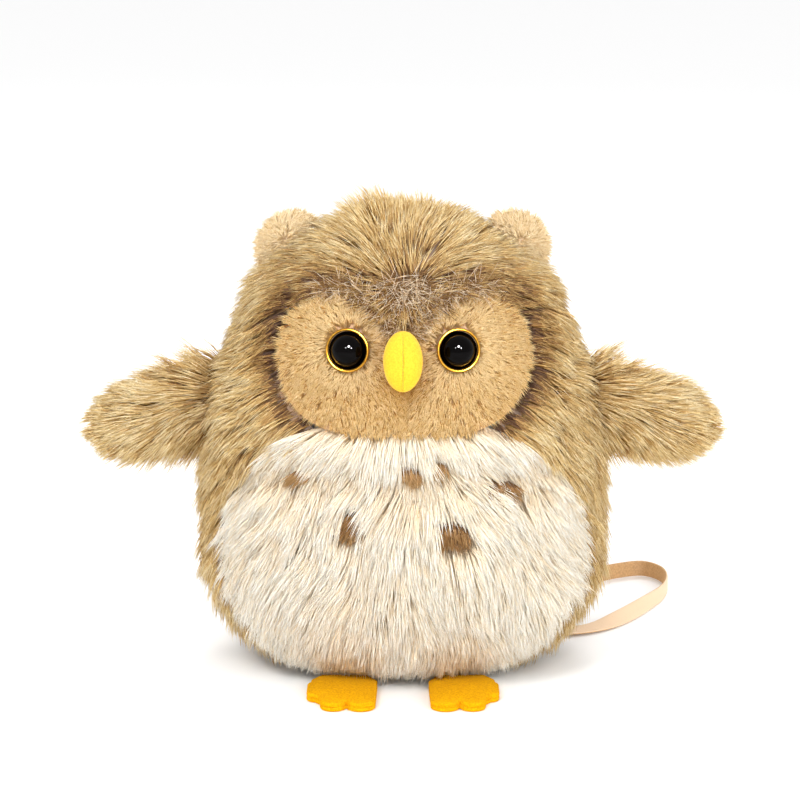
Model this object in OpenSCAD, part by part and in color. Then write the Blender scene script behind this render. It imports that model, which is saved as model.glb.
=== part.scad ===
/* [Body] */
// Half width of the body over its pile, at its widest
body_half_w = 82; // [78:1:86]
// Height of the widest level above the surface that the bag stands on
widest_z = 56; // [54:1:58]
// Rise from the widest level to the top of the head
dome_rise = 136; // [132:1:140]
// Depth of the body as a share of its width
depth_ratio = 0.80; // [0.78:0.01:0.82]
// Thickness of a pile fabric panel, pile included
panel_t = 7; // [6:0.5:7.5]

/* [Face] */
// Distance from the middle of the face to an eye's centre
eye_x = 21; // [20:0.5:22]
// Height of the eyes
eye_z = 137; // [135:0.5:139]
// Radius of the black dome of an eye
dome_r = 6.3; // [5.8:0.1:6.4]
// Half width of the beak
beak_half_w = 7.5; // [6.5:0.25:8]
// Half height of the beak
beak_half_h = 11.7; // [10:0.1:12]

/* [Wings, ears and feet] */
// Length of a wing from its seam to its tip
wing_len = 47; // [44:1:48]
// Half height of a wing
wing_half_h = 17.5; // [15:0.5:18]
// Half thickness of a wing
wing_half_t = 9.5; // [7:0.5:10]
// Radius of an ear
ear_r = 14; // [12:0.5:15]
// Thickness of each felt layer of a foot
felt_t = 1.8; // [1.5:0.1:2]

/* [Zip and pocket] */
// Length of the zip's chain
chain_len = 78; // [75:3:78]
// Travel of the slider
slider_travel = 60; // [50:1:60]
// Inside width of the pocket
pocket_w = 58; // [50:1:60]

/* [Strap] */
// Width of the strap
strap_w = 7; // [6:0.5:7]
// Thickness of the strap
strap_t = 1.2; // [1:0.1:1.3]

/* [Hidden] */
$fn = 48;

left = -1;
right = 1;
body_y = 6;              // the body's middle plane, so that the whole outline is centred
core = [0, body_y, 85];  // the point that the layers of the body shrink towards
low_rise = 60;           // from the widest level down to where the body would close
dome_n = 2.2;            // how square the upper outline is
low_n = 3.4;             // how square the lower outline is
plan_n = 2.2;            // how square a level cut is
pile_out = 3;            // pile tips that stand proud of the panels
pile_in = pile_out + panel_t;
fill_in = pile_in + 2;
hem_z = 10;              // lower edge of the panels, over the feet
crown_z = 155;           // seam between the crown and the panels below it
seam_gap = 0.8;          // degrees between panels at a seam

// ---- surfaces -------------------------------------------------------------------------

// Angle up the outline at height z
function lift(z) = z >= widest_z ? asin(pow((z - widest_z) / dome_rise, dome_n / 2))
    : -asin(pow((widest_z - z) / low_rise, low_n / 2));
function spow(v, e) = sign(v) * pow(abs(v), e);
// A point of the body's outer surface: u turns from the front, w climbs the outline
function skin(u, w) = let (
        n = w >= 0 ? dome_n : low_n,
        rise = w >= 0 ? dome_rise : low_rise,
        a = body_half_w * pow(cos(w), 2 / n))
    [a * spow(sin(u), 2 / plan_n), body_y - a * depth_ratio * spow(cos(u), 2 / plan_n),
     widest_z + rise * spow(sin(w), 2 / n)];
// The same point, t deeper towards the core
function under(u, w, t) = let (p = skin(u, w)) core + (p - core) * (1 - t / norm(p - core));

// Front edges of the panels, in degrees from the front
function belly_edge(z) = 63 * sqrt(max(0, 1 - pow((z - widest_z) / (z > widest_z ? 58 : 90), 2)));
function face_edge(z) = 42 * sqrt(max(0, 1 - pow((z - 131) / 27, 2)));
chest_z = 108;           // seam between the face and the belly
// Half width of the opening for the zip in the back seam
slot_half = 15.6;
slot_lo = 42;
slot_hi = 146;
function slot(z) = z < slot_lo - 4 || z > slot_hi + 4 ? 0.4
    : 0.4 + slot_half * min(1, (z - slot_lo + 4) / 4, (slot_hi + 4 - z) / 4);
function back_edge(z) = let (a = body_half_w * pow(cos(lift(z)), 2 / (z >= widest_z ? dome_n : low_n)))
    180 - asin(pow(slot(z) / a, plan_n / 2));

function quad(a, b, c, d) = [[a, b, c], [a, c, d]];

// A closed slab over the unit square: f(p, q, k) gives its outer (k = 0) and inner (k = 1) face
module slab(f, np, nq) {
    row = np + 1;
    side = row * (nq + 1);
    pts = [for (k = [0, 1], j = [0:nq], i = [0:np]) f(i / np, j / nq, k)];
    faces = [
        for (j = [0:nq - 1], i = [0:np - 1]) let (a = j * row + i)
            each quad(a, a + row, a + row + 1, a + 1),
        for (j = [0:nq - 1], i = [0:np - 1]) let (a = side + j * row + i)
            each quad(a, a + 1, a + row + 1, a + row),
        for (i = [0:np - 1]) each quad(i, i + 1, side + i + 1, side + i),
        for (i = [0:np - 1]) let (a = nq * row + i) each quad(a, side + a, side + a + 1, a + 1),
        for (j = [0:nq - 1]) let (a = j * row) each quad(a, side + a, side + a + row, a + row),
        for (j = [0:nq - 1]) let (a = j * row + np) each quad(a, a + row, side + a + row, side + a)];
    polyhedron(pts, faces, convexity = 6);
}

// A closed solid through rings of points, with a fan over each end
module loft(rings) {
    n = len(rings[0]);
    last = len(rings) - 1;
    mid = function (r) [for (k = [0:2]) [for (p = r) p[k]] * [for (p = r) 1 / n]];
    pts = [for (r = rings) each r, mid(rings[0]), mid(rings[last])];
    faces = [
        for (j = [0:last - 1], i = [0:n - 1]) let (a = j * n + i, b = j * n + (i + 1) % n)
            each quad(a, a + n, b + n, b),
        for (i = [0:n - 1]) [n * (last + 1), i, (i + 1) % n],
        for (i = [0:n - 1]) [n * (last + 1) + 1, last * n + (i + 1) % n, last * n + i]];
    polyhedron(pts, faces, convexity = 6);
}

// ---- body -----------------------------------------------------------------------------

pocket = [pocket_w, 50, 70];          // inside of the pocket
pocket_mid = [0, body_y + 11.5, 96];
neck_half = 8;                        // half width of the pocket's neck
neck_y = [body_y + 33.5, body_y + 45.7];     // the neck runs back to the zip
lining_t = 0.8;

module pocket_space(grow) {
    translate(pocket_mid) cube(pocket + 2 * grow * [1, 1, 1], center = true);
    translate([-neck_half - grow, neck_y[0], pocket_mid[2] - pocket[2] / 2 - grow])
        cube([2 * neck_half + 2 * grow, neck_y[1] - neck_y[0], pocket[2] + 2 * grow]);
}

module stuffing() {
    fill_lo = 12;
    rings = 14;
    around = 36;
    w_lo = lift(fill_lo);
    slot_sill = 17;       // the filling stays whole this far above the opening's lower end
    color("ivory") difference() {
        loft([for (j = [0:rings]) let (w = w_lo + (88 - w_lo) * j / rings)
            [for (i = [0:around - 1]) under(i * 360 / around, w, fill_in)]]);
        pocket_space(lining_t + 0.4);
        translate([-slot_half, neck_y[1] - 8, slot_lo + slot_sill])
            cube([2 * slot_half, 30, slot_hi - slot_lo - slot_sill]);
        for (s = [left, right]) at_eye(s) translate([0, 0, -18]) cylinder(r = 8, h = 30);
    }
}

module pocket_lining() {
    color("tan") difference() {
        pocket_space(lining_t);
        pocket_space(0);
        translate([-neck_half, neck_y[1] - 1, pocket_mid[2] - pocket[2] / 2])
            cube([2 * neck_half, 5, pocket[2]]);
    }
}

// A level range of the body's cover, between two edges given in degrees from the front
module panel(z_lo, z_hi, edge_a, edge_b, np, nq, t_out = pile_out, t_in = pile_in) {
    slab(function (p, q, k) let (
            z = z_lo + (z_hi - z_lo) * q,
            u = edge_a(z) + (edge_b(z) - edge_a(z)) * p)
        under(u, lift(z), k == 0 ? t_out : t_in), np, nq);
}

module crown_panel() {
    rings = 8;
    around = 36;
    w_lo = lift(crown_z + 0.5);
    color("burlywood") loft(concat(
        [for (j = [0:rings]) let (w = 89 + (w_lo - 89) * j / rings)
            [for (i = [around - 1:-1:0]) under(i * 360 / around, w, pile_out)]],
        [for (j = [rings:-1:0]) let (w = 86 + (w_lo - 86) * j / rings)
            [for (i = [around - 1:-1:0]) under(i * 360 / around, w, pile_in)]]));
}

module face_panel() {
    color("tan") difference() {
        panel(chest_z + 1, crown_z - 1, function (z) -face_edge(z), function (z) face_edge(z),
            14, 8, t_out = 2, t_in = 8);
        for (s = [left, right]) at_eye(s) {
            translate([0, 0, -0.3]) cylinder(r = dome_r + 3, h = 12);
            translate([0, 0, -12]) cylinder(r = stem_r + 0.2, h = 20);
        }
    }
}

module belly_panel() {
    color("linen") panel(hem_z, chest_z, function (z) -belly_edge(z), function (z) belly_edge(z),
        16, 10);
}

module side_panel(s) {
    front = function (z) max(belly_edge(z), face_edge(z), 0.6) + seam_gap;
    color("burlywood") mirror([s == left ? 1 : 0, 0, 0])
        panel(hem_z, crown_z - 0.5, front, function (z) back_edge(z), 14, 24);
}
module side_panel_left() { side_panel(left); }
module side_panel_right() { side_panel(right); }

base_half_w = 51;
base_h = 8.5;

module base_panel() {
    corners = 48;
    color("burlywood") linear_extrude(base_h) polygon([for (i = [0:corners - 1])
        let (u = i * 360 / corners)
        [base_half_w * spow(sin(u), 2 / plan_n),
         body_y - base_half_w * 0.74 * spow(cos(u), 2 / plan_n)]]);
}

// ---- eyes and beak --------------------------------------------------------------------

stem_r = 2.4;
ring_tube = 0.9;          // half thickness of the rim round an eye
eye_y = body_y - 51.5;
eye_out = 12;             // an eye looks this far outwards
eye_up = 8;               // and this far upwards

module at_eye(s) {
    translate([s * eye_x, eye_y, eye_z]) rotate([0, 0, s * eye_out]) rotate([90 - eye_up, 0, 0])
        children();
}

module eye_dome(s) {
    plate_h = 1.6;
    stem_len = 14;
    sunk = 2;             // the dome's centre lies this far below the plate's top
    cap_r = dome_r - 0.3; // leaves a fine ledge that the gold ring lies against
    color("black") at_eye(s) rotate_extrude() {
        translate([0, -stem_len]) square([stem_r, stem_len + plate_h / 2]);
        square([dome_r, plate_h]);
        intersection() {
            translate([0, plate_h - sunk]) circle(r = sqrt(cap_r * cap_r + sunk * sunk));
            translate([0, plate_h / 2]) square([cap_r, 10]);
        }
    }
}
module eye_dome_left() { eye_dome(left); }
module eye_dome_right() { eye_dome(right); }

module eye_ring(s) {
    color("goldenrod") at_eye(s) translate([0, 0, ring_tube])
        rotate_extrude() translate([dome_r + ring_tube + 0.1, 0]) circle(r = ring_tube, $fn = 24);
}
module eye_ring_left() { eye_ring(left); }
module eye_ring_right() { eye_ring(right); }

module eye_washer(s) {
    washer_r = 6.5;
    color("white") at_eye(s) translate([0, 0, -8.6]) difference() {
        cylinder(r = washer_r, h = 1.4);
        translate([0, 0, -1]) cylinder(r = stem_r + 0.05, h = 4);
    }
}
module eye_washer_left() { eye_washer(left); }
module eye_washer_right() { eye_washer(right); }

beak_mid = [0, body_y - 61.7, 134.7];
beak_half_d = 7;
beak_felt = 1.2;
beak_lat = 82;

// A point of the beak: turn from the front, height angle, and depth below the felt
function beak_pt(turn, lat, t) = beak_mid + [
    (beak_half_w - t) * sin(turn) * cos(lat), -(beak_half_d - t) * cos(turn) * cos(lat),
    (beak_half_h - t) * sin(lat)];

module beak_half(s) {
    color("gold") mirror([s == left ? 1 : 0, 0, 0])
        slab(function (p, q, k) beak_pt(1 + 176 * p, -beak_lat + 2 * beak_lat * q, k * beak_felt), 10, 10);
}
module beak_left() { beak_half(left); }
module beak_right() { beak_half(right); }

module beak_wadding() {
    color("white") loft([for (j = [0:8]) let (lat = -78 + 156 * j / 8)
        [for (i = [0:15]) beak_pt(i * 360 / 16, lat, beak_felt + 0.25)]]);
}

// ---- feather spots on the chest -------------------------------------------------------

// Each spot: distance to the right, height, half length, half width, tilt
spots = [[-42, 89, 5, 2.2, 10], [3, 92, 4.5, 2.2, -15], [14, 94, 4, 2, 20],
         [40, 84, 5.5, 3, -10], [-20, 71, 4.5, 3.4, 50], [19.5, 67, 6.5, 3.6, -5]];
spot_t = 1.4;

// A flat leaf of plush with pointed ends, clear of the front of the belly panel
module feather_spot(i) {
    p = spots[i];
    a = body_half_w * pow(cos(lift(p[1])), 2 / (p[1] >= widest_z ? dome_n : low_n));
    turn = sign(p[0]) * asin(pow(abs(p[0]) / a, plan_n / 2));
    at = under(turn, lift(p[1]), pile_out - 0.7);
    bow = (p[2] * p[2] + p[3] * p[3]) / (2 * p[3]);
    color("sienna") translate(at) rotate([0, 0, turn * 0.92]) rotate([90 + (widest_z - p[1]) * 0.16, p[4], 0])
        linear_extrude(spot_t) intersection() {
            translate([0, p[3] - bow]) circle(r = bow);
            translate([0, bow - p[3]]) circle(r = bow);
        }
}
module feather_spot_1() { feather_spot(0); }
module feather_spot_2() { feather_spot(1); }
module feather_spot_3() { feather_spot(2); }
module feather_spot_4() { feather_spot(3); }
module feather_spot_5() { feather_spot(4); }
module feather_spot_6() { feather_spot(5); }

// ---- feet -----------------------------------------------------------------------------

foot_x = 24;
foot_front = -69;         // tips of the toes
foot_back = -33;          // where the felt goes into the base seam
floor_gap = 0.2;

// Toes: distance from the foot's middle, of the round tip's centre from the front, radius
toes = [[-7.8, 5.7, 5.7], [2.9, 5.4, 5.1], [10.2, 15, 3.3]];
toe_len = 9;              // a toe runs straight back this far before it joins the foot

// Outline with two broad front toes and a small outer one
module foot_outline(s) {
    mirror([s == left ? 1 : 0, 0]) {
        for (t = toes) translate([foot_x + t[0], foot_front + t[1]]) {
            circle(r = t[2]);
            translate([-t[2], 0]) square([2 * t[2], toe_len]);
        }
        polygon([[foot_x - 13.5, foot_front + 8], [foot_x - 2.4, foot_front + 7],
            [foot_x + 8, foot_front + 8], [foot_x + 13.5, foot_front + 16], [foot_x + 12, foot_back - 6],
            [foot_x + 8, foot_back], [foot_x - 10, foot_back], [foot_x - 14, foot_back - 8]]);
    }
}
module foot_sole(s) { color("orange") translate([0, 0, floor_gap]) linear_extrude(felt_t) foot_outline(s); }
module foot_sole_left() { foot_sole(left); }
module foot_sole_right() { foot_sole(right); }
module foot_top(s) {
    color("orange") translate([0, 0, floor_gap + felt_t]) linear_extrude(felt_t) foot_outline(s);
}
module foot_top_left() { foot_top(left); }
module foot_top_right() { foot_top(right); }

// ---- wings ----------------------------------------------------------------------------

wing_root = [77.6, body_y, 107];
wing_lean = 0.207;        // the wing's seam follows the slope of the body
wing_drop = 11;

// A point of a wing: s runs from seam to tip, turn goes round, f is the depth as a share
function wing_pt(s, turn, f) = let (
        h = wing_half_h * sqrt(1 - pow(s, 4)) * (1 - f),
        t = wing_half_t * pow(sin(180 * (0.05 + 0.95 * s)), 0.6) * (1 - f))
    wing_root + [wing_len * s - wing_lean * h * cos(turn) * (1 - s), t * sin(turn),
        h * cos(turn) - wing_drop * pow(s, 0.7)];

module wing_cover(s, from) {
    color("burlywood") mirror([s == left ? 1 : 0, 0, 0])
        slab(function (p, q, k) wing_pt(0.985 * q, from + 1 + 178 * (1 - p), 0.3 * k), 12, 9);
}
module wing_front_left() { wing_cover(left, 180); }
module wing_front_right() { wing_cover(right, 180); }
module wing_back_left() { wing_cover(left, 0); }
module wing_back_right() { wing_cover(right, 0); }

module wing_wadding(s) {
    color("ivory") mirror([s == left ? 1 : 0, 0, 0])
        loft([for (j = [0:8]) [for (i = [0:15]) wing_pt(0.02 + 0.94 * j / 8, -i * 360 / 16, 0.36)]]);
}
module wing_wadding_left() { wing_wadding(left); }
module wing_wadding_right() { wing_wadding(right); }

// ---- ears -----------------------------------------------------------------------------

ear_turn = 46;            // from upright to outward
ear_foot = [46.7, body_y + 1, 171.2];
ear_t = 3.4;              // each of the two layers
ear_sunk = 5;             // the round's middle lies this far below its seam

module at_ear(s) { mirror([s == left ? 1 : 0, 0, 0]) translate(ear_foot) rotate([0, ear_turn, 0]) children(); }

module ear_layer(s, y) {
    at_ear(s) translate([0, y + ear_t, 0]) rotate([90, 0, 0]) linear_extrude(ear_t) intersection() {
        translate([0, -ear_sunk]) circle(r = ear_r);
        translate([-ear_r, 0]) square([2 * ear_r, 2 * ear_r]);
    }
}
module ear_front(s) { color("moccasin") ear_layer(s, -ear_t); }
module ear_front_left() { ear_front(left); }
module ear_front_right() { ear_front(right); }
module ear_back(s) { color("burlywood") ear_layer(s, 0.05); }
module ear_back_left() { ear_back(left); }
module ear_back_right() { ear_back(right); }

// ---- zip ------------------------------------------------------------------------------

zip_mid = [0, body_y + 53, 97];
zip_lean = 5;             // the chain leans in towards the head
tooth_pitch = 3;
tooth_h = 1.3;
tooth_reach = 2.6;        // from the chain's middle to the tape
tooth_lap = 0.9;          // how far a tooth crosses the middle
chain_t = 2.4;
tape_w = 10.5;
tape_t = 0.8;

module at_zip() { translate(zip_mid) rotate([zip_lean, 0, 0]) children(); }

module zip_tape(s) {
    color("wheat") at_zip() mirror([s == left ? 1 : 0, 0, 0])
        translate([tooth_reach, -tape_t / 2, -chain_len / 2 - 5]) cube([tape_w, tape_t, chain_len + 10]);
}
module zip_tape_left() { zip_tape(left); }
module zip_tape_right() { zip_tape(right); }

module zip_teeth(s) {
    count = floor(chain_len / tooth_pitch);
    shift = s == left ? 0 : tooth_pitch / 2;
    color("wheat") at_zip() mirror([s == left ? 1 : 0, 0, 0]) for (i = [0:count - 1])
        translate([-tooth_lap, -chain_t / 2, -chain_len / 2 + i * tooth_pitch + shift])
            cube([tooth_reach + tooth_lap, chain_t, tooth_h]);
}
module zip_teeth_left() { zip_teeth(left); }
module zip_teeth_right() { zip_teeth(right); }

module zip_stop(z) {
    color("gold") at_zip() translate([-tooth_reach, -chain_t / 2, z])
        cube([2 * tooth_reach, chain_t, 1.8]);
}
module zip_top_stop() { zip_stop(slider_z + slider_half_l + 0.4); }
module zip_bottom_stop() { zip_stop(-chain_len / 2 - 2.2); }

slider_z = 36.2;            // slider's middle when the zip is closed
slider_half_w = 4.3;
slider_half_l = 5.5;
plate_y = 1.6;            // inner face of the slider's plates
plate_t = 1;
bail_y = 3.4;

module zip_slider() {
    color("gold") at_zip() translate([0, 0, slider_z]) {
        for (y = [plate_y, -plate_y - plate_t])
            translate([-slider_half_w, y, -slider_half_l])
                cube([2 * slider_half_w, plate_t, 2 * slider_half_l]);
        for (x = [3.1, -slider_half_w], y = [0.6, -plate_y])
            translate([x, y, -slider_half_l])
                cube([slider_half_w - 3.1, plate_y - 0.6, 2 * slider_half_l]);
        translate([-0.6, -plate_y, slider_half_l - 2.6]) cube([1.2, 2 * plate_y, 2.6]);
        intersection() {
            translate([0, bail_y, 0]) rotate([0, 90, 0]) difference() {
                cylinder(r = 3, h = 1.6, center = true);
                cylinder(r = 1.7, h = 3, center = true);
            }
            translate([-2, plate_y + plate_t, -5]) cube([4, 10, 10]);
        }
    }
}

pull_y = 3.9;             // height of the pull's pivot over the chain
pull_len = 22;

module zip_pull() {
    color("gold") at_zip() translate([0, pull_y, slider_z]) {
        rotate([0, 90, 0]) cylinder(r = 0.75, h = 6.6, center = true);
        for (x = [-3.3, 2.3]) translate([x, -0.6, -5]) cube([1, 1.2, 5]);
        translate([0, -0.6, 0]) difference() {
            translate([-3.3, 0, -pull_len]) cube([6.6, 1.2, pull_len - 4.5]);
            translate([0, 2, -pull_len + 4]) rotate([90, 0, 0]) cylinder(r = 1.8, h = 4);
        }
    }
}

// ---- strap fittings -------------------------------------------------------------------

hang_at = [38, body_y + 46, 154.5];   // bar of the D-ring, in the tab's loop
hang_tilt = 15;                // the fittings hang along the slope of the back
wire_r = 1.1;
ring_half_w = 5.5;
tab_w = 8;
eye_drop = 30;                 // from the D-ring's bar to the clasp's lower bar

module at_hang(s) { translate([s * hang_at[0], hang_at[1], hang_at[2]]) rotate([hang_tilt, 0, 0]) children(); }

module strap_tab(s) {
    tab_back = -6.2;
    loop_in = wire_r + 0.15;
    loop_out = loop_in + 0.9;
    color("peachpuff") translate([s * hang_at[0] - tab_w / 2, hang_at[1], hang_at[2]])
        rotate([90, 0, 90]) linear_extrude(tab_w) difference() {
            union() {
                circle(r = loop_out);
                translate([tab_back, -0.9]) square([-tab_back, 1.8]);
            }
            circle(r = loop_in);
        }
}
module strap_tab_left() { strap_tab(left); }
module strap_tab_right() { strap_tab(right); }

module d_ring(s) {
    color("gold") at_hang(s) {
        rotate([0, 90, 0]) cylinder(r = wire_r, h = 2 * ring_half_w, center = true);
        for (x = [-ring_half_w, ring_half_w]) translate([x, 0, 0]) sphere(r = wire_r);
        rotate([90, 0, 0]) rotate([0, 0, 180]) rotate_extrude(angle = 180)
            translate([ring_half_w, 0]) circle(r = wire_r, $fn = 24);
    }
}
module d_ring_left() { d_ring(left); }
module d_ring_right() { d_ring(right); }

hook_r = 3.6;                  // middle radius of the clasp's hook
hook_wire = 1;
hook_drop = 6.9;               // hook's centre below the D-ring's bar
hook_open = 110;               // the hook's opening starts this far round from its stem
hook_end = 20;                 // and ends here, at the gate's pivot

// The hook stands across the D-ring, open on its outer side for the gate
module clasp(s) {
    color("gold") at_hang(s) {
        translate([0, 0, -hook_drop]) rotate([0, 90, 0]) rotate([0, 0, hook_open])
            rotate_extrude(angle = 270) translate([hook_r, 0]) circle(r = hook_wire, $fn = 24);
        translate([0, 0, -hook_drop - hook_r - 6]) cylinder(r = 1.9, h = 6.2);
        translate([0, 0, -hook_drop - hook_r - 8.2]) cylinder(r = 2.6, h = 2.3);
        translate([-5.1, -1, -hook_drop - hook_r - 10.2]) cube([10.2, 2, 2.1]);
        for (x = [-5.1, 3.9]) translate([x, -1, -eye_drop]) cube([1.2, 2, eye_drop - hook_drop - hook_r - 8.2]);
        translate([0, 0, -eye_drop]) rotate([0, 90, 0]) cylinder(r = wire_r, h = 10.2, center = true);
    }
}
module clasp_left() { clasp(left); }
module clasp_right() { clasp(right); }

gate_lean = 25;                // the gate's chord across the opening, from upright

// The gate pivots where the hook's opening meets the stem, and closes it from inside
module clasp_gate(s) {
    color("gold") at_hang(s)
        translate([0, hook_r * sin(hook_end), -hook_drop - hook_r * cos(hook_end)])
            rotate([-gate_lean, 0, 0]) {
                translate([0, 0, 1]) cylinder(r = 0.7, h = 3.2);
                translate([-1.1, 0.3, 1.1]) cube([2.2, 1.7, 1.1]);
            }
}
module clasp_gate_left() { clasp_gate(left); }
module clasp_gate_right() { clasp_gate(right); }

module strap_end(s) {
    loop_in = wire_r + 0.1;
    loop_out = loop_in + strap_t;
    fold = 15;
    color("peachpuff") at_hang(s) translate([-strap_w / 2, 0, -eye_drop])
        rotate([90, 0, 90]) linear_extrude(strap_w) difference() {
            union() {
                circle(r = loop_out);
                translate([-strap_t, -fold]) square([2 * strap_t, fold]);
            }
            circle(r = loop_in);
        }
    color("gold") at_hang(s) translate([0, strap_t, -eye_drop - 9]) rotate([-90, 0, 0])
        cylinder(r = 2, h = 0.8);
}
module strap_end_left() { strap_end(left); }
module strap_end_right() { strap_end(right); }

// ---- strap ----------------------------------------------------------------------------

roll_mid = [0, 128];           // middle of the rolled-up length
roll_out = 31;                 // radius of the outermost turn
roll_pitch = 3.2;              // from turn to turn
roll_turns = 3.886;

// Route of the strap from the right fitting to the roll, and the way its width points
route_right = [[38, 64, 109], [38.5, 66, 95], [39.5, 68, 78], [40.5, 69.5, 60], [41, 70, 42],
    [41.5, 70, 25], [43, 67, 12], [46, 58, 5], [50, 47.5, 4], [56.5, 38, 3.6], [66, 31.5, 2.2],
    [80, 36.5, 1.8], [93, 48.5, 2.9], [105, 66, 3.8], [113, 82, 3.8], [116.5, 98, 3.8],
    [115, 112, 3.8], [107.5, 120.5, 3.8], [96, 116.5, 3.8], [84, 108, 3.8], [70, 100.5, 3.8],
    [54, 96.5, 3.8], [36, 96, 3.8], [18, 96.5, 3.8]];
width_right = [[1, 0, 0], [1, 0, 0], [1, 0, 0], [1, 0, 0], [1, 0, 0],
    [1, 0.1, 0], [1, 0.4, 0.2], [0.8, 0.5, 0.6], [0.3, 0.3, 1], [0.2, 0.6, 0.8], [-0.4, 0.9, 0.25],
    [-0.7, 0.8, 0.2], [-0.55, 0.5, 0.7], [-0.2, 0.1, 1], [0, 0, 1], [0, 0, 1],
    [0, 0, 1], [0, 0, 1], [0, 0, 1], [0, 0, 1], [0, 0, 1],
    [0, 0, 1], [0, 0, 1], [0, 0, 1]];
// Route from the top of the roll to the left fitting
route_left = [[11, 113.5, 9.6], [4, 107, 9.8], [-4, 100, 9.8], [-12, 93.5, 9.2], [-20, 87, 4.5],
    [-27, 81, 2.4], [-33, 76, 4], [-37, 72.5, 12], [-38.5, 70.5, 25], [-39, 70, 42],
    [-39.5, 69.5, 60], [-39, 68, 78], [-38.5, 66, 95], [-38, 64, 109]];
width_left = [[0.7, -0.7, 0], [0.7, -0.7, 0], [0.7, -0.7, 0], [0.7, -0.7, 0], [0.7, -0.7, 0],
    [0.8, -0.6, 0], [0.9, -0.4, 0], [1, -0.2, 0], [1, 0, 0], [1, 0, 0],
    [1, 0, 0], [1, 0, 0], [1, 0, 0], [1, 0, 0]];

function unit(v) = v / norm(v);
// One flat ring of the strap with rounded edges, at point i of a route
function strap_ring(route, width, i) = let (
        last = len(route) - 1,
        along = unit(route[min(i + 1, last)] - route[max(i - 1, 0)]),
        w = unit(width[i] - along * (width[i] * along)),
        n = cross(along, w),
        a = strap_w / 2,
        b = strap_t / 2)
    [for (c = [[a, -0.5 * b], [a, 0.5 * b], [a - b, b], [b - a, b], [-a, 0.5 * b], [-a, -0.5 * b],
        [b - a, -b], [a - b, -b]]) route[i] + w * c[0] + n * c[1]];

module strap_run(route, width) {
    color("peachpuff") loft([for (i = [0:len(route) - 1]) strap_ring(route, width, i)]);
}
module strap_run_right() { strap_run(route_right, width_right); }
module strap_run_left() { strap_run(route_left, width_left); }

module strap_roll() {
    outer = roll_out + strap_t;
    inner = roll_out - roll_pitch * roll_turns - strap_t;
    color("peachpuff") translate([roll_mid[0], roll_mid[1], 0.3])
        rotate_extrude() translate([inner, 0]) square([outer - inner, 8.3]);
}

stuffing();
pocket_lining();
crown_panel();
face_panel();
belly_panel();
side_panel_left();
side_panel_right();
base_panel();
zip_tape_left();
zip_tape_right();
zip_teeth_left();
zip_teeth_right();
zip_top_stop();
zip_bottom_stop();
zip_slider();
zip_pull();
eye_dome_left();
eye_dome_right();
eye_ring_left();
eye_ring_right();
eye_washer_left();
eye_washer_right();
beak_left();
beak_right();
beak_wadding();
feather_spot_1();
feather_spot_2();
feather_spot_3();
feather_spot_4();
feather_spot_5();
feather_spot_6();
foot_top_left();
foot_top_right();
foot_sole_left();
foot_sole_right();
wing_front_left();
wing_front_right();
wing_back_left();
wing_back_right();
wing_wadding_left();
wing_wadding_right();
ear_front_left();
ear_front_right();
ear_back_left();
ear_back_right();
strap_tab_left();
strap_tab_right();
d_ring_left();
d_ring_right();
clasp_left();
clasp_right();
clasp_gate_left();
clasp_gate_right();
strap_end_left();
strap_end_right();
strap_run_right();
strap_roll();
strap_run_left();
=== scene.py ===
"""Plush owl shoulder bag: fur, felt, eyes, zip, fittings and strap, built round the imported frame."""
import math

import bmesh
import bpy
import numpy as np
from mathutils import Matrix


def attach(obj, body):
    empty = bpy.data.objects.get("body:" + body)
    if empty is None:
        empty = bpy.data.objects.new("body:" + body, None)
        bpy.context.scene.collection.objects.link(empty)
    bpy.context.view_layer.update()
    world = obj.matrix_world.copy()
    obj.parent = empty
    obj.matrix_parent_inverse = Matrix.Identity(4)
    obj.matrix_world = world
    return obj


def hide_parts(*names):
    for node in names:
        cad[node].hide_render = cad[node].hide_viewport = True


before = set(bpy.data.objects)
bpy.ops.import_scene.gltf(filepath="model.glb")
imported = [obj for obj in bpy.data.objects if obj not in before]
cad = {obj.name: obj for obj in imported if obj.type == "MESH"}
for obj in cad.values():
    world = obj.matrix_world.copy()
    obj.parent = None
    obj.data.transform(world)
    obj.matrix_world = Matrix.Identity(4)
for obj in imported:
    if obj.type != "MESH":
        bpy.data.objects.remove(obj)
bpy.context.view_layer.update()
scene = bpy.context.scene
MM = 0.001
SIDES = (("left", -1), ("right", 1))


# ---- camera ------------------------------------------------------------------------------

CAMERA_DISTANCE = 1100
CAMERA_HEIGHT = 13           # degrees above level
AIM = np.array([0, 0, 95])   # mm
LENS, SENSOR = 123.75, 36    # mm
SHIFT = (-3 / 800, 31 / 800)  # parts of the frame's width, across and up
SEES = (0.05, 20)            # m, nearest and furthest


def place_camera():
    """Camera on a sphere round AIM, looking at it, with a small shift that frames the owl."""
    lens = bpy.data.cameras.new("camera")
    lens.lens, lens.sensor_width = LENS, SENSOR
    lens.shift_x, lens.shift_y = SHIFT
    lens.clip_start, lens.clip_end = SEES
    ob = bpy.data.objects.new("camera", lens)
    up = math.radians(CAMERA_HEIGHT)
    ob.location = (AIM + CAMERA_DISTANCE * np.array([0, -math.cos(up), math.sin(up)])) * MM
    ob.rotation_euler = (math.pi / 2 - up, 0, 0)
    scene.collection.objects.link(ob)
    scene.camera = ob


place_camera()


# ---- vectors -----------------------------------------------------------------------------

def unit(v):
    """Each vector divided by its length."""
    return v / np.maximum(np.linalg.norm(v, axis=-1, keepdims=True), 1e-9)


def dot(a, b):
    """Dot product along the last axis, kept as a column."""
    return (a * b).sum(-1, keepdims=True)


def vec(x, y, z):
    """Points from their three coordinates, each a number or an array."""
    return np.stack(np.broadcast_arrays(x, y, z), -1).astype(float)


def spow(v, e):
    """A power of the size that keeps the sign."""
    return np.sign(v) * np.abs(v) ** e


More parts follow.
